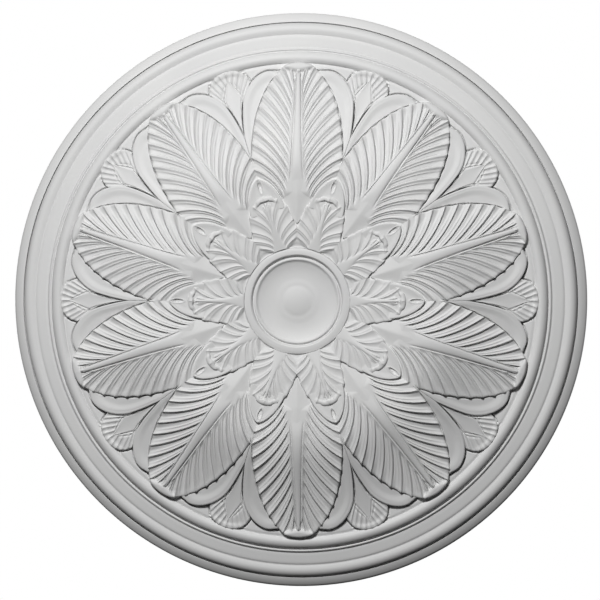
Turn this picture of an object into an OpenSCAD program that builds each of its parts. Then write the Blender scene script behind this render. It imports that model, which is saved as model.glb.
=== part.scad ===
// A round ceiling rose, moulded in one piece: a shallow dish and ring in the middle, a ring
// of small fluted leaves, a wreath of long fluted leaves and a moulded rim. The flat back
// lies on the ceiling at z = 0 and the carved face looks down, towards -z.

/* [Overall] */
// Outside diameter of the rim
rose_d = 575; // [560:1:590]
// Depth from the flat back to the highest leaves
depth = 56; // [50:1:62]

/* [Centre] */
// Outside diameter of the ring around the dish
ring_d = 106; // [102:0.5:108]
// Height of the ring's crown above the back
ring_h = 50; // [47:0.5:52]
// Height of the dish floor above the back
dish_h = 43; // [40:0.5:44]
// Diameter of the button in the dish
button_d = 32; // [28:1:34]

/* [Leaves] */
// Distance from the centre to the tips of the long leaves
leaf_tip_r = 237.5; // [236:0.5:238]
// Height of the long leaves' tips above the back
leaf_tip_h = 24; // [23:0.5:26]
// Flutes on each side of a long leaf
leaf_flutes = 12; // [9:1:13]
// Depth of the flutes
flute_depth = 1.6; // [0.8:0.1:2]
// Distance from the centre to the tips of the small leaves
small_tip_r = 109.5; // [107:0.5:111]
// Flutes on each side of a small leaf
small_flutes = 7; // [5:1:8]
// Radius at which the leaves stand highest
crown_r = 118; // [112:1:122]

/* [Rim] */
// Outside radius of the round moulding beside the leaf tips
roll_r = 249; // [248:0.5:250]
// Height of that round moulding
roll_h = 20.5; // [19.5:0.5:21.5]
// Height of the flat band between the mouldings
band_h = 13; // [12:0.5:14]
// Height at which the sloping outer edge starts
edge_h = 5; // [4.5:0.5:6]

/* [Hidden] */

$fn = 96;
leaves = 10;                    // long leaves in the wreath
step_a = 360 / leaves;          // from one long leaf to the next
half_a = step_a / 2;
seam_a = half_a - 0.4;          // a leaf stops just short of the line to its neighbour
rim_r = rose_d / 2;
ring_r = ring_d / 2;
ring_w = 7.5;                   // width of the ring's round
field_r = leaf_tip_r + 1;       // the leaves' field ends in a crease here
field_drop = 5.8;               // from the leaves' surface down to the field
petal_drop = 3.6;               // down to the smooth petals
peep_drop = 4.5;                // down to the leaf tips between the petals
split_r = 142;                  // the long leaves part from each other here
leaf_half_w = 45;               // half width of a long leaf, where they part
leaf_foot_r = 120;              // the first flute of a long leaf ends here
spread_r = 76;                  // the small leaves part from each other here
base_h = 8;                     // where the leaves are rooted inside the casting
steepest = 0.45;                // where the leaves' surface falls most, from crown to tip
easing = 0.45;                  // how far that slope eases at the tips
arc_steps = 10;

// Points along a circular arc.
function arc(cx, cy, r, from, to, n = arc_steps) =
    [for (i = [0 : n]) let (a = from + (to - from) * i / n) [cx + r * cos(a), cy + r * sin(a)]];

// Height lost by a circle that falls by `drop` over `run`, at distance d from its crown.
function fall(d, run, drop) =
    let (r = (run * run + drop * drop) / (2 * drop)) r - sqrt(r * r - d * d);

// Share of the fall from the crown to the leaf tips, at share u of the way. The slope swells
// until `steepest` and then eases to 1 - easing of its greatest value.
function lost(u) = u < steepest
    ? (u - steepest * sin(180 * u / steepest) / PI) / 2
    : steepest / 2 + (1 - easing / 2) * (u - steepest)
        + easing * (1 - steepest) * sin(180 * (u - steepest) / (1 - steepest)) / (2 * PI);

// The surface that the leaves lie in: an arc up from the ring to the crown, then an S-shaped
// fall to the tips.
function leaf_h(r) = r > crown_r
    ? depth - (depth - leaf_tip_h) * lost((r - crown_r) / (leaf_tip_r - crown_r)) / lost(1)
    : depth - fall(crown_r - r, crown_r - ring_r, depth - ring_h);

function reversed(points) = [for (i = [len(points) - 1 : -1 : 0]) points[i]];

function mirrored(half) = concat(half, [for (p = reversed(half)) [-p[0], p[1]]]);

function to_line(p, a) = [min(p[0], p[1] * tan(a)), p[1]];

// ---- Turned body -------------------------------------------------------------------

module turned_body() {
    shell = 4.5;
    button_r = button_d / 2;
    crown = ring_r - ring_w / 2;
    dish_w = ring_r - 13;
    field = [for (i = [0 : 16])
        let (r = ring_r + (field_r - ring_r) * i / 16, d = r < split_r + 6 ? shell : field_drop)
        [r, leaf_h(r) - d]];
    profile = concat(
        [[0, 0], [0, dish_h + 1.9]],
        arc(0, dish_h - 70, 71.9, 88, 79, 5),
        [[button_r - 0.6, dish_h + 0.3], [button_r + 2, dish_h], [dish_w - 14, dish_h]],
        arc(dish_w - 14, dish_h + 27, 27, 275, 298, 5),
        [[dish_w + 0.3, dish_h + 3.9], [dish_w + 1.6, dish_h + 4], [dish_w + 2.6, dish_h + 3]],
        arc(crown, ring_h - ring_w / 2, ring_w / 2, 182, 0),
        field,
        [[field_r, roll_h - 4], [field_r + 0.5, roll_h - 4]],
        arc(roll_r - 9, roll_h - 9, 9, 98, 18, 8),
        [[roll_r - 0.4, band_h + 0.6]],
        arc(roll_r + 1.2, band_h + 0.8, 1.2, 150, 0, 6),
        [[roll_r + 3, band_h], [rim_r - 24.5, band_h - 1.6], [rim_r - 22.5, band_h - 2.4]],
        [[rim_r - 19.5, band_h - 2.2]],
        arc(rim_r - 17, band_h - 8.8, 7, 98, 6, 10),
        [[rim_r - 9.6, edge_h - 1.8], [rim_r - 8.9, edge_h - 1.8]],
        arc(rim_r - 15.9, edge_h - 20.4, 22, 68, 48, 6),
        [[rim_r, 0.5], [rim_r, 0]]
    );
    rotate_extrude() polygon(profile);
}

// ---- Plain leaves: an upright outline under the leaves' surface ---------------------

// A ring of material up to `drop` below the leaves' surface.
module leaf_ring(from, to, drop) {
    steps = ceil((to - from) / 9);
    top = [for (i = [0 : steps]) let (r = from + (to - from) * i / steps) [r, leaf_h(r) - drop]];
    rotate_extrude() polygon(concat([[from, base_h]], top, [[to, base_h]]));
}

module cut_leaf(from, to, drop, outline) {
    intersection() {
        leaf_ring(from, to, drop);
        linear_extrude(depth + 1) polygon(outline);
    }
}

// Smooth petal behind each long leaf, seen as a crescent on both of its sides.
module petal() {
    half_w = leaf_half_w + 10;
    shoulder_r = 24;
    shoulder_y = leaf_tip_r - 8 - shoulder_r;
    side_r = 195;
    side = arc(half_w - side_r, shoulder_y - 5, side_r, -17, 0, 6);
    shoulder = arc(half_w - shoulder_r, shoulder_y, shoulder_r, 12, 97, 8);
    half = [for (p = concat(side, shoulder)) to_line(p, seam_a)];
    cut_leaf(split_r - 2, leaf_tip_r - 4, petal_drop, mirrored(half));
}

// Leaf tip that looks out between two petals.
module peeping_leaf() {
    arch_r = 20;
    point = [4, 176];
    top_r = leaf_tip_r + 1.5;
    half = concat([point], arc(0, top_r - arch_r, arch_r, -28, 90, 9));
    cut_leaf(point[1] - 4, field_r + 0.8, peep_drop, mirrored(half));
}

// Smooth pointed leaf behind each small leaf, pierced by a narrow eye.
module pointed_leaf() {
    half_w = 16.6;
    foot_y = small_tip_r - 5;
    length = 23;
    eye = [1.8, 9];
    half = [for (i = [0 : 8]) let (u = i / 8) [half_w * (1 - pow(u, 1.7)) + 0.2 * u, foot_y + length * u]];
    difference() {
        cut_leaf(foot_y - 2, foot_y + length + 2, -0.3, mirrored(half));
        translate([0, foot_y + 0.62 * length, depth - 2.2]) linear_extrude(5) square(eye, center = true);
    }
}

// Little leaf tip that looks out from the ring between two small leaves.
module ring_tip() {
    length = 12.5;
    half = [[9, ring_r - 2], [7, ring_r + 0.4 * length], [3.5, ring_r + 0.76 * length],
        [0.2, ring_r + length]];
    cut_leaf(ring_r - 2, ring_r + length + 2, 0.8, mirrored(half));
}

// Faceted spearhead at the foot of each long leaf's midrib.
module spearhead() {
    foot_y = spread_r + 0.5;
    half_w = 11;
    half = [[0.2, foot_y], [half_w, foot_y + 20.5], [half_w / 2, foot_y + 33.5], [0.2, foot_y + 49.5]];
    cut_leaf(foot_y - 4, foot_y + 52, 0.1, mirrored(half));
}

// ---- Fluted leaves -----------------------------------------------------------------

// Half width of the long leaf's midrib at distance y from the centre.
function rib_w(y) = 2.5 + 0.035 * (leaf_tip_r - 7.5 - y) + 5.5 * exp(-(y - 98) / 13);

// Edge of the long leaf: up the line between two leaves, then round to the tip.
function leaf_edge(f) =
    let (share = 0.13)
    f < share
        ? let (y = leaf_foot_r + (split_r - leaf_foot_r) * f / share) [y * tan(seam_a), y]
        : let (a = 90 * (f - share) / (1 - share),
               up = (leaf_tip_r - split_r) * pow(sin(a), 0.9))
          to_line([leaf_half_w * pow(cos(a), 1.06), split_r + up], seam_a);

function leaf_root(f) =
    let (first = leaf_foot_r - 20, last = leaf_tip_r - 9.5, y = first + (last - first) * pow(f, 1.08))
    [rib_w(y), y];

// Edge and root of the small leaf.
function small_edge(f) =
    let (foot = ring_r + 2, share = 0.35, seam = half_a - 0.6)
    f < share
        ? let (y = foot + (spread_r - foot) * f / share) [y * tan(seam), y]
        : let (a = 90 * (f - share) / (1 - share), w = spread_r * tan(seam),
               up = (small_tip_r - spread_r) * pow(sin(a), 1.4))
          [w * pow(cos(a), 1.16), spread_r + up];

function small_root(f) =
    let (first = ring_r + 1, last = small_tip_r - 6)
    [0.9 + 3.6 * pow(1 - f, 1.5), first + (last - first) * f];

// Point t of the way along a flute that leaves the midrib upwards and bends out to the edge.
function along(a, b, t) =
    let (c = [a[0] + 0.34 * (b[0] - a[0]), a[1] + 0.58 * (b[1] - a[1])])
    (1 - t) * (1 - t) * a + 2 * t * (1 - t) * c + t * t * b;

// One side of a fluted leaf: a line of points for each crest and each hollow. The blade lies
// sink under the leaves' surface, drops by dome from midrib to edge, and by flute in hollows.
function fluted_side(edge, root, n, rows, sink, dome, flute, side) =
    [for (k = [0 : 2 * n]) let (f = k / (2 * n), hollow = k % 2) [for (j = [0 : rows])
        let (t = j / rows,
             short = hollow && j == rows ? 0.965 : 1,
             p = along(root(f), edge(f), t * short),
             r = norm(p))
        [side * p[0], p[1], leaf_h(r) - sink - dome * t * t - hollow * flute * min(1, 2 * t)]]];

// A closed leaf from its two sides, cut off flat at base_h inside the casting.
module fluted_leaf(right, left) {
    n = len(right);
    m = len(right[0]);
    right_at = function (k, j) k * m + j;
    left_at = function (k, j) n * m + k * m + j;
    rim = concat(
        [for (k = [0 : n - 1]) right_at(k, m - 1)],
        [for (k = [n - 2 : -1 : 0]) left_at(k, m - 1)],
        [for (j = [m - 2 : -1 : 0]) left_at(0, j)],
        [for (j = [0 : m - 2]) right_at(0, j)]
    );
    tops = concat([for (line = right) each line], [for (line = left) each line]);
    foot = [for (i = rim) [tops[i][0], tops[i][1], base_h]];
    low = len(tops);
    count = len(rim);
    tip_left = left_at(n - 1, m - 1);
    tip_right = right_at(n - 1, m - 1);
    blade = [for (k = [0 : n - 2]) for (j = [0 : m - 2]) for (face = [
        [right_at(k, j), right_at(k + 1, j), right_at(k + 1, j + 1)],
        [right_at(k, j), right_at(k + 1, j + 1), right_at(k, j + 1)],
        [left_at(k, j), left_at(k + 1, j + 1), left_at(k + 1, j)],
        [left_at(k, j), left_at(k, j + 1), left_at(k + 1, j + 1)]]) face];
    midrib = [for (k = [0 : n - 2]) for (face = [
        [left_at(k, 0), left_at(k + 1, 0), right_at(k + 1, 0)],
        [left_at(k, 0), right_at(k + 1, 0), right_at(k, 0)]]) face];
    head = [for (j = [0 : m - 2]) for (face = j < m - 2 ? [
        [left_at(n - 1, j), left_at(n - 1, j + 1), right_at(n - 1, j + 1)],
        [left_at(n - 1, j), right_at(n - 1, j + 1), right_at(n - 1, j)]]
        : [[left_at(n - 1, j), tip_right, right_at(n - 1, j)]]) face];
    merged = [for (face = concat(blade, midrib, head)) [for (i = face) i == tip_left ? tip_right : i]];
    wall = [for (i = [0 : count - 1]) let (i2 = (i + 1) % count) for (face = [
        [rim[i], rim[i2], low + i2], [rim[i], low + i2, low + i]]) face];
    floor_face = [[for (i = [0 : count - 1]) low + i]];
    polyhedron(concat(tops, foot), concat(merged, wall, floor_face), convexity = 6);
}

module long_leaf() {
    edge = function (f) leaf_edge(f);
    root = function (f) leaf_root(f);
    fluted_leaf(
        fluted_side(edge, root, leaf_flutes, 3, 0.6, 1.3, flute_depth, 1),
        fluted_side(edge, root, leaf_flutes, 3, 0.6, 1.3, flute_depth, -1));
}

module small_leaf() {
    edge = function (f) small_edge(f);
    root = function (f) small_root(f);
    fluted_leaf(
        fluted_side(edge, root, small_flutes, 2, 0, 0.3, 0.7 * flute_depth, 1),
        fluted_side(edge, root, small_flutes, 2, 0, 0.3, 0.7 * flute_depth, -1));
}

// ---- The whole casting ---------------------------------------------------------------

module ceiling_rose() {
    color("gainsboro") mirror([0, 0, 1]) union() {
        turned_body();
        for (i = [0 : leaves - 1]) rotate([0, 0, i * step_a]) {
            petal();
            long_leaf();
            spearhead();
            ring_tip();
            rotate([0, 0, half_a]) {
                peeping_leaf();
                pointed_leaf();
                small_leaf();
            }
        }
    }
}

ceiling_rose();
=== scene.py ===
import math
import bpy
import numpy as np
from mathutils import Matrix, Vector


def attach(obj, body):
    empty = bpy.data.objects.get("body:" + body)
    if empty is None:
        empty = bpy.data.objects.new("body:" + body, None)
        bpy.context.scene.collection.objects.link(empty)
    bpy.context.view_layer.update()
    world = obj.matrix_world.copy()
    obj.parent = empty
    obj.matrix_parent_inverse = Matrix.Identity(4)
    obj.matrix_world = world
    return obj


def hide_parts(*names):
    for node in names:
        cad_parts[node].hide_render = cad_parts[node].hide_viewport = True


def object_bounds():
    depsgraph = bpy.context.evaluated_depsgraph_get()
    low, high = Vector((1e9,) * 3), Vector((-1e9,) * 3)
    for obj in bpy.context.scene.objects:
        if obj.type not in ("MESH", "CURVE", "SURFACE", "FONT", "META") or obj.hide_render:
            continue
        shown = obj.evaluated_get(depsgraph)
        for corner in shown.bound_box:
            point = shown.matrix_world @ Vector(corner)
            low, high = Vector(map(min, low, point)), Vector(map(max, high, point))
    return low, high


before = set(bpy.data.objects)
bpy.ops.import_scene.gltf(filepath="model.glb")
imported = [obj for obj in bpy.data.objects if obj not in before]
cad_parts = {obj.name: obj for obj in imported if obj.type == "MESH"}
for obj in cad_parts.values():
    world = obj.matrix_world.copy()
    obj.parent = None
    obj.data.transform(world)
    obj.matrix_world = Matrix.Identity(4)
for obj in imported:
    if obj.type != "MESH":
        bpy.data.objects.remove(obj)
cad_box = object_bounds()
low, high = cad_box

# ---- Camera -------------------------------------------------------------------------------
# A long lens looks up at the rose from almost straight below, a few degrees off its axis,
# with the tip of one long leaf at the top of the picture.
distance = 4.0
aside = math.radians(3.5)
ahead = math.radians(1.1)
sensor_w = 36.0
picture_over_rose = 1.04712
back_centre = Vector(((low.x + high.x) / 2, (low.y + high.y) / 2, high.z))
away = Vector((-math.sin(aside), math.sin(ahead), -math.cos(aside))).normalized()
bpy.ops.object.camera_add(location=back_centre + distance * away)
camera = bpy.context.object
picture_right = Vector((0, 1, 0)).cross(away).normalized()
picture_up = away.cross(picture_right)
facing = Matrix((picture_right, picture_up, away)).transposed()
camera.rotation_euler = facing.to_euler()
camera.data.sensor_width = sensor_w
camera.data.lens = sensor_w * distance / ((high.x - low.x) * picture_over_rose)
bpy.context.scene.camera = camera

# ---- The casting's plaster-white primer ---------------------------------------------------
# The whole rose is one moulding in hard foam, sprayed with a matt off-white primer that has
# a very fine orange-peel grain and settles a trace greyer and rougher here and there.
MM = 0.001
primer_white = (0.70, 0.70, 0.692, 1)
primer_grey = (0.66, 0.66, 0.662, 1)
grain_size = 0.0011
grain_height = 0.00004
cloud_size = 0.06
least_rough, most_rough = 0.5, 0.68


def primer_material():
    material = bpy.data.materials.new("white_primer")
    material.use_nodes = True
    nodes = material.node_tree.nodes
    links = material.node_tree.links
    shader = nodes["Principled BSDF"]
    place = nodes.new("ShaderNodeTexCoord")
    clouds = nodes.new("ShaderNodeTexNoise")
    clouds.inputs["Scale"].default_value = 1 / cloud_size
    clouds.inputs["Detail"].default_value = 5
    tone = nodes.new("ShaderNodeMix")
    tone.data_type = "RGBA"
    tone.inputs["A"].default_value = primer_white
    tone.inputs["B"].default_value = primer_grey
    rough = nodes.new("ShaderNodeMapRange")
    rough.inputs["To Min"].default_value = least_rough
    rough.inputs["To Max"].default_value = most_rough
    grain = nodes.new("ShaderNodeTexNoise")
    grain.inputs["Scale"].default_value = 1 / grain_size
    grain.inputs["Detail"].default_value = 3
    bump = nodes.new("ShaderNodeBump")
    bump.inputs["Distance"].default_value = grain_height
    bump.inputs["Strength"].default_value = 0.6
    links.new(place.outputs["Object"], clouds.inputs["Vector"])
    links.new(place.outputs["Object"], grain.inputs["Vector"])
    links.new(clouds.outputs["Fac"], tone.inputs["Factor"])
    links.new(clouds.outputs["Fac"], rough.inputs["Value"])
    links.new(tone.outputs["Result"], shader.inputs["Base Color"])
    links.new(rough.outputs["Result"], shader.inputs["Roughness"])
    links.new(grain.outputs["Fac"], bump.inputs["Height"])
    links.new(bump.outputs["Normal"], shader.inputs["Normal"])
    shader.inputs["Specular IOR Level"].default_value = 0.35
    return material


primer = primer_material()

# ---- Turned body: rim mouldings, field, ring, dish and button -----------------------------
# The round part of the casting. It is modelled as it was turned for the mould: one profile
# spun round the axis. The back is a plain flat face that is bonded to the ceiling.
rim_r = 287.5
ring_r = 53.0
crown_h = 54.0
crown_r = 118.0
tip_r = 237.5
tip_h = 24.0
ring_h = 49.4
field_r = 236.5
dish_h = 43.0
turns = 270


def arc(centre_r, centre_h, radius, start, end, count):
    """Points of the profile along a circular arc, in degrees from the outward direction."""
    angles = [math.radians(start + (end - start) * i / count) for i in range(count + 1)]
    return [(centre_r + radius * math.cos(a), centre_h + radius * math.sin(a)) for a in angles]


def lost(u):
    """Share of the fall from crown to tips at share u of the way: the slope swells, then eases."""
    steepest, easing = 0.45, 0.45
    left = 1 - steepest
    first = (u - steepest * np.sin(np.pi * u / steepest) / np.pi) / 2
    second = steepest / 2 + (1 - easing / 2) * (u - steepest)
    second = second + easing * left * np.sin(np.pi * (u - steepest) / left) / (2 * np.pi)
    return np.where(u < steepest, first, second)


def leaf_surface(r):
    """Height that the leaves lie in: up from the ring to the crown, then an S-shaped fall."""
    drop = crown_h - ring_h
    run = crown_r - ring_r
    bend = (run * run + drop * drop) / (2 * drop)
    inner = crown_h - bend + np.sqrt(bend * bend - np.clip(crown_r - r, 0, bend) ** 2)
    outer = crown_h - (crown_h - tip_h) * lost((r - crown_r) / (tip_r - crown_r)) / lost(1)
    return np.where(r > crown_r, outer, inner)


def below_leaves(r, drop):
    """Point of the profile that far under the leaves' surface."""
    return (r, float(leaf_surface(np.float64(r))) - drop)


def body_profile():
    """The turned body's half section as (radius, height), from the middle of the back round."""
    button = [(0, dish_h + 2.2)] + arc(0, dish_h - 66.8, 69, 89.2, 80, 10)
    button += [(13.4, dish_h + 0.85), (14.7, dish_h + 0.58), (16, dish_h + 0.45)]
    button += [(17.2, dish_h + 0.43), (18.6, dish_h + 0.36), (20, dish_h + 0.2)]
    button += [(21.4, dish_h + 0.07)]
    bowl = [(22.8 + 1.13 * i, dish_h + 2.35 * (i / 14) ** 2.3) for i in range(15)]
    wall = [(39.2, dish_h + 2.7), (39.8, dish_h + 3.25), (40.3, dish_h + 3.85)]
    bead = [(40.8, dish_h + 4.2), (41.4, dish_h + 4.35), (42.1, dish_h + 4.25)]
    bead += [(42.7, dish_h + 3.8)]
    groove = [(43.1, dish_h + 2.9), (43.6, dish_h + 2.6), (44.1, dish_h + 2.9)]
    ring = arc(48.2, ring_h - 3.2, 3.8, 172, 90, 10)
    ring = [(r, min(h, ring_h)) for r, h in ring] + arc(48.2, ring_h - 14, 14, 87, 73, 6)
    ring += [(52.6, ring_h - 1.2), (52.9, ring_h - 1.7), (53.5, ring_h - 2.2), (54.5, ring_h - 5.2)]
    under = [below_leaves(r, 3.4) for r in (60, 70, 80, 90, 100, 110)]
    under += [below_leaves(130, 7), below_leaves(150, 9), (205, 18), (field_r - 0.4, 15)]
    roll = [(field_r + 0.4, 17.9), (field_r + 1.2, 18.6), (field_r + 2.1, 19.25)]
    roll += [(field_r + 3.2, 19.8), (field_r + 4.4, 20.1)]
    roll += arc(241.6, 12.9, 7.25, 88, 18, 18) + [(248.9, 14.3)]
    rim_bead = [(249.4, 14.1), (249.9, 14.6), (250.5, 15.0), (251.1, 14.95)]
    rim_bead += [(251.8, 14.3), (252.3, 13.4)]
    band = [(252.7, 12.9), (253.3, 12.7), (254, 12.75), (256, 12.5), (258, 12.2), (260, 11.95)]
    band += [(262, 11.65), (263.4, 11.4), (264.2, 11.1), (264.8, 10.6), (265.4, 10.3), (266.0, 10.35)]
    band += [(266.8, 10.6), (268, 10.87)]
    ovolo = arc(270.3, 3.55, 7.55, 98, 2, 24)
    quirk = [(277.9, 2.6), (278.35, 2.6), (278.4, 5.4)]
    slope = arc(rim_r - 15.1, -15.5, 22, 73.5, 57, 9)
    arris = [(285.7, 2.15), (286.4, 1.5), (287.0, 0.8), (287.4, 0.25), (rim_r, 0)]
    face = button + bowl + wall + bead + groove + ring + under + roll + rim_bead + band
    face += ovolo + quirk + slope + arris
    return [(0, 0)] + face[::-1]


def turn_profile(name, points):
    """Extrudes one vertex from point to point, from 0, 0 on, and spins the line round."""
    bpy.ops.object.select_all(action="DESELECT")
    bpy.ops.mesh.primitive_plane_add(size=0.001)
    piece = bpy.context.object
    piece.name = piece.data.name = name
    bpy.ops.object.mode_set(mode="EDIT")
    bpy.ops.mesh.select_all(action="SELECT")
    bpy.ops.mesh.merge(type="CENTER")
    last = (0, 0)
    for r, h in points[1:]:
        step = ((r - last[0]) * MM, 0, -(h - last[1]) * MM)
        bpy.ops.mesh.extrude_vertices_move(TRANSFORM_OT_translate={"value": step})
        last = (r, h)
    bpy.ops.mesh.select_all(action="SELECT")
    bpy.ops.mesh.spin(steps=turns, angle=2 * math.pi, center=(0, 0, 0), axis=(0, 0, 1))
    bpy.ops.mesh.select_all(action="SELECT")
    bpy.ops.mesh.remove_doubles(threshold=0.00001)
    bpy.ops.mesh.normals_make_consistent(inside=False)
    bpy.ops.object.mode_set(mode="OBJECT")
    return piece


def finish_piece(piece, sharpest=50):
    """Primer, smooth shading up to an edge of that many degrees, and the piece's place."""
    piece.data.materials.append(primer)
    bpy.ops.object.select_all(action="DESELECT")
    piece.select_set(True)
    bpy.context.view_layer.objects.active = piece
    bpy.ops.object.shade_smooth_by_angle(angle=math.radians(sharpest))
    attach(piece, "root")


body = turn_profile("turned_body", body_profile())
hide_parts("ceiling_rose")
finish_piece(body, sharpest=40)

# ---- Long leaves --------------------------------------------------------------------------
# Ten long leaves with a raised midrib and curved flutes, each ending in a lobe of the edge.
# They are carved in the mould, so each is a relief with upright sides rooted in the body.
leaf_count = 10
sector = 2 * math.pi / leaf_count
half_sector = sector / 2
root_h = 8.0
split_y = 142.0
leaf_w = 45.0
first_flute, last_flute = -1.5, 11.0
rib_part = 0.2


def smooth_step(a, b, x):
    t = np.clip((x - a) / (b - a), 0, 1)
    return t * t * (3 - 2 * t)


def hump(x, centre, width):
    return np.exp(-((x - centre) / width) ** 2)


def carve(name, across, along, shape):
    """A relief: a grid that shape(u, v) bends into place, with its border let into the body."""
    bpy.ops.object.select_all(action="DESELECT")
    bpy.ops.mesh.primitive_grid_add(x_subdivisions=across, y_subdivisions=along, size=2)
    piece = bpy.context.object
    piece.name = piece.data.name = name
    grid = np.empty(len(piece.data.vertices) * 3)
    piece.data.vertices.foreach_get("co", grid)
    grid = grid.reshape(-1, 3)
    x, y, h = shape(grid[:, 0], (grid[:, 1] + 1) / 2)
    piece.data.vertices.foreach_set("co", (np.stack([x, y, -h], axis=1) * MM).ravel())
    bpy.ops.object.mode_set(mode="EDIT")
    bpy.ops.mesh.select_all(action="SELECT")
    bpy.ops.mesh.remove_doubles(threshold=0.00001)
    bpy.ops.mesh.select_mode(type="EDGE")
    bpy.ops.mesh.select_all(action="DESELECT")
    bpy.ops.mesh.select_non_manifold(extend=False, use_wire=False, use_multi_face=False,
                                     use_non_contiguous=False, use_verts=False)
    bpy.ops.mesh.extrude_edges_move(TRANSFORM_OT_translate={"value": (0, 0, 0)})
    bpy.ops.transform.resize(value=(1, 1, 0), center_override=(0, 0, -root_h * MM))
    bpy.ops.mesh.edge_face_add()
    bpy.ops.mesh.select_all(action="SELECT")
    bpy.ops.mesh.normals_make_consistent(inside=False)
    bpy.ops.object.mode_set(mode="OBJECT")
    return piece


def ring_of(piece, first_turn, sharpest=50):
    """Turns the piece into ten, evenly round the axis, each with its own mesh."""
    pieces = [piece]
    for i in range(1, leaf_count):
        twin = piece.copy()
        twin.data = piece.data.copy()
        twin.name = twin.data.name = f"{piece.name}_{i + 1}"
        bpy.context.collection.objects.link(twin)
        pieces.append(twin)
    piece.name = piece.data.name = piece.name + "_1"
    for i, each in enumerate(pieces):
        each.data.transform(Matrix.Rotation(first_turn + i * sector, 4, "Z"))
        finish_piece(each, sharpest)


def flute(phase, hollow):
    """0 on the sharp crests at whole numbers, down to -1 at the bottom of the flute between."""
    way = np.where(phase < hollow, phase / hollow, 1 + (phase - hollow) / (1 - hollow)) / 2
    return -np.sin(np.pi * way) ** 0.85


def rolled_edge(from_edge, width, fall):
    """Fall of a surface that is rounded over within some width of its edge."""
    part = np.clip(1 - from_edge / width, 0, 1)
    return fall * (1 - np.sqrt(1 - part * part))


def lobed(edge, s, lobes):
    """The line edge(s), pushed outwards by lobes."""
    x, y = edge(s)
    dx, dy = [b - a for a, b in zip(edge(s - 0.05), edge(s + 0.05))]
    length = np.hypot(dx, dy) + 1e-6
    return x + lobes * dy / length, y - lobes * dx / length


def blade(u, root, bend, edge):
    """Places half a leaf's grid: first across its midrib, then out along each flute's curve."""
    across_rib = np.clip(np.abs(u) / rib_part, 0, 1)
    out = 1 - (1 - np.clip((np.abs(u) - rib_part) / (1 - rib_part), 0, 1)) ** 1.2
    back = 1 - out
    x, y = [back * back * a + 2 * out * back * b + out * out * c for a, b, c in zip(root, bend, edge)]
    x = np.where(across_rib < 1, root[0] * across_rib, x)
    y = np.where(across_rib < 1, root[1], y)
    return x, y, out


def midrib_w(y):
    """Half width of the long leaf's midrib and its grooves, wider towards the foot."""
    return 3.6 + 0.03 * (230 - y) + 5.6 * np.exp(-(y - 100) / 14)


def long_edge(s):
    """Edge of the long leaf where flute number s ends, without its lobes."""
    y_low = split_y - 12 * (1 - s)
    x_low = y_low * math.tan(half_sector) - 1.14 * smooth_step(-0.1, 0.35, s)
    x_low = np.minimum(leaf_w + 3 * (1 - s), x_low)
    u = np.clip((s - 1) / 10, 0, 1)
    a = np.radians(64 * u + 26 * u * u)
    x_up = leaf_w * np.abs(np.cos(a)) ** 1.06 * (u < 1)
    y_up = split_y + (tip_r - split_y) * np.sin(a) ** 0.9 + 1.7 * hump(x_up, 14, 7)
    return np.where(s < 1, x_low, x_up), np.where(s < 1, y_low, y_up)


def long_leaf(u, v):
    s = first_flute + (last_flute - first_flute) * v
    low_part = np.clip(4 - s, 0, None)
    root_y = 139 + 12.6 * (s - 4) + 0.8 * low_part ** 2
    root_x = midrib_w(root_y) * (1 - smooth_step(10.2, last_flute, s))
    lobes = 0.28 * smooth_step(0.6, 1.2, s) * (1 - smooth_step(7.5, 9.5, s)) * np.cos(2 * np.pi * s)
    edge_x, edge_y = lobed(long_edge, s, lobes)
    bend_x = root_x + (0.36 - 0.015 * low_part) * (edge_x - root_x)
    bend_y = root_y + (0.57 + 0.045 * low_part) * (edge_y - root_y)
    x, y, out = blade(u, (root_x, root_y), (bend_x, bend_y), (edge_x, edge_y))
    r = np.hypot(x, y)
    from_edge = np.hypot(x - edge_x, y - edge_y)
    # flutes, with a fine second ridge in each, that fade at the midrib and under the lip
    phase = s - np.floor(s)
    curl = y - 0.016 * x * x
    cut_in = smooth_step(0, 0.12, out)
    ends = 1 - smooth_step(227, 230.5, curl)
    deep = cut_in * ends * (2.5 + 0.5 * smooth_step(0.5, 0.9, out) - 0.12 * np.cos(np.pi * s))
    flutes = deep * (flute(phase, 0.33 + 0.12 * smooth_step(0.6, 1, out)) + 0.45)
    second = 0.85 * hump(phase, 0.63, 0.075) - 1.2 * hump(phase, 0.14, 0.07)
    second = second * cut_in * ends * (1 - 0.5 * smooth_step(0.65, 0.95, out))
    # midrib: a round rib between two grooves, with a squared head short of the tip
    rib_w = midrib_w(y) - 1.5
    head = (1 - smooth_step(228.6, 230.2, y)) * smooth_step(112, 136, y)
    rib = 1.5 * np.sqrt(np.clip(1 - (x / rib_w) ** 2, 0, 1)) - 1.2 * hump(x, rib_w + 0.15, 0.45)
    rib = rib + 0.5 * hump(x, rib_w + 1.3, 0.6)
    # the tip curls up into a lip, and every edge is rounded over
    lip = 1.6 * smooth_step(227.5, 232.5, curl) * (1 - smooth_step(16, 24, x))
    puff = 0.3 * smooth_step(7, 2, from_edge) * smooth_step(1, 3, s)
    tip = smooth_step(226, 235, y)
    over = rolled_edge(from_edge, 1.2 + 1.2 * tip, 0.8 + 1.6 * tip) * smooth_step(0, 0.6, s)
    foot = 3.5 * (1 - smooth_step(96, 109, y))
    h = leaf_surface(r) - 0.9 - 0.8 * out ** 2 + flutes + second + rib * head
    h = h + lip + puff - over - foot
    return np.sign(u) * x, y, h


ring_of(carve("long_leaf", across=72, along=186, shape=long_leaf), first_turn=0)

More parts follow.
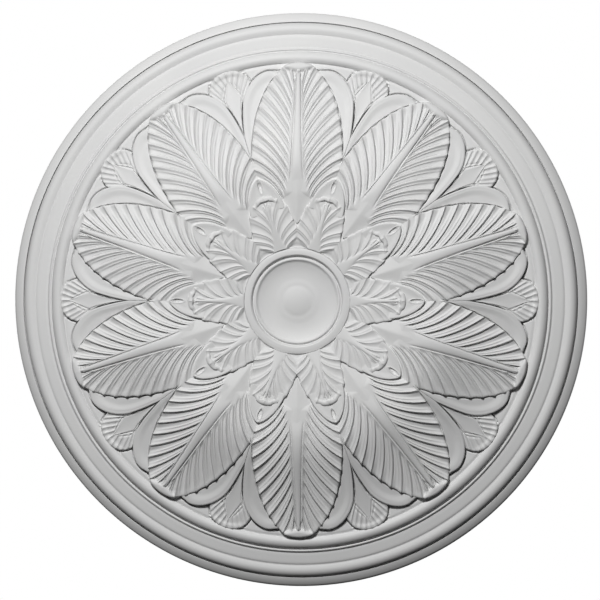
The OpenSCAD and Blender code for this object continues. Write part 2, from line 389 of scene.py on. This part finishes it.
# ---- Petals -------------------------------------------------------------------------------
# A smooth petal lies behind each long leaf and shows on both of its sides as a crescent with
# a rolled outer edge. The petals of two leaves run together in a narrow cleft between them.
side_x, side_r = -139.7, 195.0
shoulder_x, shoulder_y = 29.0, 195.0
shoulder_w, shoulder_rise, shoulder_power = 26.3, 34.0, 1.8
side_end, shoulder_end = 66.4, 109.4
hidden = 0.12


def petal(u, v):
    out = smooth_step(hidden, 1, np.abs(u))
    # outline: up the side on a large arc, then round the shoulder and in towards the tip
    length = 118 * v
    past = np.clip(length - shoulder_end, 0, None)
    a = np.radians(-19.5 + length / side_r * 57.3)
    b = np.radians(90 * np.clip((length - side_end) / (shoulder_end - side_end), 0, 1))
    on_side = length < side_end
    round_x = shoulder_x + shoulder_w * np.cos(b) ** 1.11 - past
    round_y = shoulder_y + shoulder_rise * np.sin(b) ** 1.11 - 0.1 * past
    line_x = np.where(on_side, side_x + side_r * np.cos(a), round_x)
    line_y = np.where(on_side, shoulder_y + side_r * np.sin(a), round_y)
    seam = line_y * math.tan(half_sector) - 0.05
    line_x = np.minimum(line_x, seam)
    # the inner part is out of sight under the long leaf
    in_y = 128 + 94 * v
    share = np.clip((in_y - split_y) / (tip_r - split_y), 0, 1) ** 1.11
    in_x = leaf_w * np.clip(1 - share ** 2, 0, 1) ** 0.53 - 1
    covered = np.abs(u) < hidden
    x = np.where(covered, in_x * np.abs(u) / hidden, in_x + (line_x - in_x) * out)
    y = np.where(covered, in_y, in_y + (line_y - in_y) * out)
    width = np.hypot(line_x - in_x, line_y - in_y)
    from_edge = (1 - out) * width
    r = np.hypot(x, y)
    from_leaf = np.hypot(x - in_x, y - in_y) - 1
    free = smooth_step(158, 172, y)
    h = leaf_surface(r) - 2.7 - 1.4 * smooth_step(3.5, 13, from_edge)
    h = h - 3.4 * (1 - smooth_step(0.5, 1.8, from_leaf)) * smooth_step(3, 7, width) * ~covered
    h = h - rolled_edge(from_edge, 1.2 + 0.6 * free, 0.8 + 0.4 * free)
    h = h - 0.2 * hump(from_edge, 3.7, 0.8) * free * (1 - smooth_step(208, 224, y))
    return np.sign(u) * x, y, h


ring_of(carve("petal", across=78, along=70, shape=petal), first_turn=0)

# ---- Field --------------------------------------------------------------------------------
# The plain ground between the petals and the rim. A narrow groove is cut into it all round
# the petals and the leaf tips, and it ends in a soft crease at the rim's roll.
field_start_r = 211.0
arch_y, arch_half_w, arch_rise, arch_power = 218.0, 21.5, 21.2, 2.3


def off_curve(x, y, half_w, rise, power):
    """About how far a point lies outside a rounded curve with its middle at 0, 0."""
    a, b = np.abs(x) / half_w, np.abs(y) / rise
    slope = np.hypot(a ** (power - 1) / half_w, b ** (power - 1) / rise) * power
    return (a ** power + b ** power - 1) / np.maximum(slope, 1e-4)


def by_next(x, y):
    """The point's place beside and along the middle line half a sector further round."""
    beside = y * math.sin(half_sector) - x * math.cos(half_sector)
    along = y * math.cos(half_sector) + x * math.sin(half_sector)
    return beside, along


def field(u, v):
    # the grid's lines are packed where the groove runs steeply
    a = half_sector * np.interp(np.abs(u), [0, 0.08, 0.78, 1], [0, 0.27, 0.72, 1])
    r = field_start_r + (field_r + 0.5 - field_start_r) * v
    x, y = r * np.sin(a), r * np.cos(a)
    beside, along = by_next(x, y)
    round_x, round_y = np.clip(beside - shoulder_x, 0, None), np.clip(along - shoulder_y, 0, None)
    off_petal = off_curve(round_x, round_y, shoulder_w, shoulder_rise, shoulder_power)
    off_tip = off_curve(x, y - arch_y, arch_half_w, arch_rise, arch_power)
    grooves = np.maximum(hump(off_petal, 0.5, 0.6), hump(off_tip, 0.5, 0.6))
    crease = smooth_step(field_r - 2.6, field_r, r)
    h = 18.4 + 0.07 * (field_r - r) - 3.2 * grooves - 0.7 * crease
    return np.sign(u) * x, y, h


ring_of(carve("field", across=160, along=38, shape=field), first_turn=half_sector)

# ---- Leaf tips between the petals ---------------------------------------------------------
# Behind the petals a last leaf looks out between each two: a fluted fan round a smooth
# pointed panel, with a curled lip where it meets the rim.
panel = 0.36
beside_gap = 0.9


def beside_petal(y):
    """How far out from its middle line the leaf tip may reach, a gap short of the petal."""
    x = np.zeros_like(y)
    for _ in range(6):
        along = by_next(x, y)[1]
        side = side_x + np.sqrt(side_r ** 2 - (along - shoulder_y) ** 2)
        part = np.clip((along - shoulder_y) / shoulder_rise, 0, 1)
        shoulder = shoulder_x + shoulder_w * (1 - part ** shoulder_power) ** (1 / shoulder_power)
        edge = np.where(along < shoulder_y, side, shoulder) + beside_gap
        x = np.clip((y * math.sin(half_sector) - edge) / math.cos(half_sector), 0.3, 40)
    return x


def peeping_leaf(u, v):
    t = np.abs(u)
    out = np.clip((t - panel) / (1 - panel), 0, 1)
    s = 1.75 * v
    past = np.clip(s - 1.1, 0, None)
    a = np.radians(np.clip(90 - 82 * s, -40, 90))
    up = np.sign(np.sin(a)) * np.abs(np.sin(a)) ** (2 / arch_power)
    line_x = arch_half_w * np.abs(np.cos(a)) ** (2 / arch_power) * (s > 0) - 3 * past
    line_y = arch_y + arch_rise * up - 52 * past
    panel_x = 11.5 * s - 11 * past
    panel_y = 230.2 - 28.5 * s - 16 * past
    line_x = np.minimum(line_x, beside_petal(line_y))
    panel_x = np.minimum(panel_x, 0.8 * beside_petal(panel_y))
    in_panel = t < panel
    x = np.where(in_panel, panel_x * t / panel, panel_x + (line_x - panel_x) * out)
    y = np.where(in_panel, panel_y, panel_y + (line_y - panel_y) * out)
    from_edge = np.hypot(x - line_x, y - line_y)
    r = np.hypot(x, y)
    fan = 1.3 * flute(5 * s - np.floor(5 * s), 0.5) + 0.65
    fan = fan * smooth_step(0, 0.2, out) * (1 - 0.4 * smooth_step(2.4, 0, from_edge))
    slit = 1.5 * hump(t, panel + 0.035, 0.03) * smooth_step(0.03, 0.15, s)
    slit = slit + 0.8 * hump(t, panel + 0.15, 0.03) * smooth_step(0.15, 0.4, s)
    lip = 1.3 * smooth_step(7, 2.5, from_edge) * smooth_step(227, 235, y)
    over = rolled_edge(from_edge, 1.3, 1.0)
    swell = np.where(in_panel, 0.4 * (t / panel) ** 2, 0.4 - 0.2 * out)
    h = leaf_surface(r) - 4.8 + swell + fan - slit + lip - over
    return np.sign(u) * x, y, h


ring_of(carve("leaf_tip", across=61, along=60, shape=peeping_leaf), first_turn=half_sector)

# ---- Pointed leaves -----------------------------------------------------------------------
# A smooth pointed leaf stands behind each small leaf. One narrow eye is sunk into it near its
# point, with a low rim round the eye.
pointed_w, pointed_foot, pointed_rise = 17.8, 92.0, 34.8
eye_y, eye_w, eye_length = 118.6, 1.9, 5.8


def pointed_leaf(u, v):
    a = np.pi / 2 * v
    edge_x = pointed_w * np.cos(a) ** 1.3
    y = pointed_foot + pointed_rise * np.sin(a) ** 1.12
    x = edge_x * np.abs(u)
    from_edge = edge_x - x
    r = np.hypot(x, y)
    lens = (x / eye_w) ** 2 + ((y - eye_y) / eye_length) ** 2
    eye = 1.7 * (1 - smooth_step(0.5, 1.1, lens)) - 0.35 * hump(lens, 1.6, 0.45)
    h = leaf_surface(r) - 0.2 - 0.8 * smooth_step(0.5, 8, from_edge) - eye
    h = h - rolled_edge(from_edge, 1.2, 0.8)
    return np.sign(u) * x, y, h


ring_of(carve("pointed_leaf", across=60, along=70, shape=pointed_leaf), first_turn=half_sector)

# ---- Spearheads ---------------------------------------------------------------------------
# The foot of each long leaf's midrib opens round a faceted spearhead. Its point runs out
# along the rib, and its foot runs in between two small leaves.
foot, widest, point = 77.0, 99.5, 129.5
spear_w = 14.0


def spearhead(u, v):
    y = foot + (point - foot) * v
    rising = np.clip((y - foot) / (widest - foot), 0, 1)
    falling = np.clip((point - y) / (point - widest), 0, 1)
    half_w = spear_w * np.minimum(rising ** 0.8, falling ** 1.4)
    x = half_w * np.abs(u)
    r = np.hypot(x, y)
    facet = 0.07 + 0.12 * (1 - smooth_step(96, 120, y))
    h = leaf_surface(r) - 0.4 - facet * x - 0.05 * np.clip(106 - y, 0, None)
    return np.sign(u) * x, y, h


ring_of(carve("spearhead", across=17, along=60, shape=spearhead), first_turn=0, sharpest=30)

# ---- Small leaves -------------------------------------------------------------------------
# Ten small fluted leaves stand round the ring. Their tips curl over, with two deep nicks
# beside the midrib under the curl, and their lower flutes meet in chevrons at the ring.
small_flutes = 7.0
free_flute = 3.0


def small_edge(s):
    """Edge of the small leaf where flute number s ends, without its lobes."""
    y_low = 57 + 3.5 * s + 1.2 * s * s
    x_low = y_low * math.tan(half_sector) - 3.6 * smooth_step(1.8, free_flute, s) ** 1.5
    u = np.clip((s - free_flute) / (small_flutes - free_flute), 0, 1)
    a = np.pi / 2 * (1.35 * u - 0.35 * u * u)
    x_up = 21.8 * np.cos(a) * (u < 1)
    y_up = 78.3 + 30.2 * np.sin(a)
    return np.where(s < free_flute, x_low, x_up), np.where(s < free_flute, y_low, y_up)


def small_leaf(u, v):
    s = small_flutes * v
    root_y = 51 + 1.2 * s + 0.9 * s * s
    root_x = (1.1 + 4.7 * np.exp(-(root_y - 55) / 14)) * (1 - smooth_step(6.3, small_flutes, s))
    lobes = 0.45 * smooth_step(2.9, 3.4, s) * (1 - smooth_step(5.2, 6.2, s)) * np.cos(2 * np.pi * s)
    edge_x, edge_y = lobed(small_edge, s, lobes)
    bend_x = root_x + 0.15 * (edge_x - root_x)
    bend_y = root_y + 0.53 * (edge_y - root_y)
    x, y, out = blade(u, (root_x, root_y), (bend_x, bend_y), (edge_x, edge_y))
    # the foot of the leaf follows the ring
    on_ring = np.sqrt((ring_r - 0.2) ** 2 - x * x)
    y = y + (on_ring - y) * (1 - smooth_step(0, 1.6, s)) ** 2
    y = np.maximum(y, on_ring)
    r = np.hypot(x, y)
    from_edge = np.hypot(x - edge_x, y - edge_y)
    phase = s - np.floor(s)
    ends = 1 - smooth_step(98, 102, y) * (1 - smooth_step(6, 11, x))
    deep = smooth_step(0, 0.15, out) * ends * (1.1 + 0.2 * smooth_step(0.6, 0.95, out))
    flutes = deep * (flute(phase, 0.42) + 0.45)
    second = 0.35 * hump(phase, 0.68, 0.09) * smooth_step(0.05, 0.3, out) * ends
    wide = 0.9 + 4.6 * np.exp(-(y - 55) / 14)
    rib = 0.8 * np.sqrt(np.clip(1 - (x / wide) ** 2, 0, 1)) * (1 - smooth_step(100, 101.5, y))
    rib = rib * (0.45 + 0.55 * smooth_step(58, 78, y))
    # the tip: a scoop with two nicks, and behind it the curled lip
    curl = y + 0.03 * x * x
    scoop = 0.7 * smooth_step(93, 100.5, curl) * (1 - smooth_step(102.2, 103.8, curl))
    scoop = scoop * (1 - smooth_step(5, 10, x))
    nick = 4.0 * hump(x, 3.9, 1.3) * hump(curl, 101.9, 1.2)
    lip = 1.3 * smooth_step(101.8, 103.8, curl) * (1 - smooth_step(6, 16, x))
    puff = 0.35 * smooth_step(6, 1.8, from_edge) * smooth_step(2.6, 3.6, s)
    tip = smooth_step(98, 106, y)
    over = rolled_edge(from_edge, 1.4 + tip, 0.9 + 1.2 * tip) * smooth_step(2.0, 2.6, s)
    # where two leaves meet at the ring there is a three-sided pit under the lowest flute
    beside, along = by_next(x, y)
    pit = 1.5 * smooth_step(1.5, 8, 69 - 1.444 * beside - along)
    dome = 1.3 * smooth_step(0.3, 1.1, out) * smooth_step(1.5, 3.5, s)
    h = leaf_surface(r) + 0.3 + flutes + second + rib
    h = h + lip - nick - scoop + puff - over - pit - dome
    return np.sign(u) * x, y, h


ring_of(carve("small_leaf", across=70, along=112, shape=small_leaf), first_turn=half_sector)

# ---- Studio -------------------------------------------------------------------------------
# A plain pale room with one soft round lamp below the rose and well to one side, and a second
# one above it for the back. The room and the floor look pale but hardly light the rose, so
# that the first lamp alone models the carving.
floor_z = -4.6
floor_size = 30
floor_white = (0.8, 0.8, 0.8, 1)
room_light, room_seen = 0.02, 1.0
bpy.ops.mesh.primitive_plane_add(size=floor_size, location=(0, 0, floor_z))
floor = bpy.context.object
floor.name = "floor"
paint = bpy.data.materials.new("pale_floor")
paint.use_nodes = True
coat = paint.node_tree.nodes["Principled BSDF"]
coat.inputs["Base Color"].default_value = floor_white
coat.inputs["Roughness"].default_value = 0.9
coat.inputs["Emission Color"].default_value = floor_white
seen_floor = paint.node_tree.nodes.new("ShaderNodeLightPath")
paint.node_tree.links.new(seen_floor.outputs["Is Camera Ray"], coat.inputs["Emission Strength"])
floor.data.materials.append(paint)


def soft_light(name, place, size, power):
    """A round lamp of that size in metres and power in watts, turned to the rose."""
    bpy.ops.object.light_add(type="AREA", location=place)
    light = bpy.context.object
    light.name = name
    light.data.shape = "DISK"
    light.data.size = size
    light.data.energy = power
    light.rotation_euler = (-Vector(place)).to_track_quat("-Z", "Y").to_euler()


soft_light("key", (0.43, 1.67, -2.46), size=0.45, power=89.5)
soft_light("back_fill", (0.6, -1.2, 2.6), size=2.0, power=60)

world = bpy.data.worlds.new("white_room")
bpy.context.scene.world = world
world.use_nodes = True
sky = world.node_tree.nodes["Background"]
sky.inputs["Color"].default_value = (1, 1, 1, 1)
seen_room = world.node_tree.nodes.new("ShaderNodeLightPath")
level = world.node_tree.nodes.new("ShaderNodeMapRange")
level.inputs["To Min"].default_value = room_light
level.inputs["To Max"].default_value = room_seen
world.node_tree.links.new(seen_room.outputs["Is Camera Ray"], level.inputs["Value"])
world.node_tree.links.new(level.outputs["Result"], sky.inputs["Strength"])
bpy.context.scene.view_settings.view_transform = "Standard"
bpy.context.scene.view_settings.gamma = 0.85
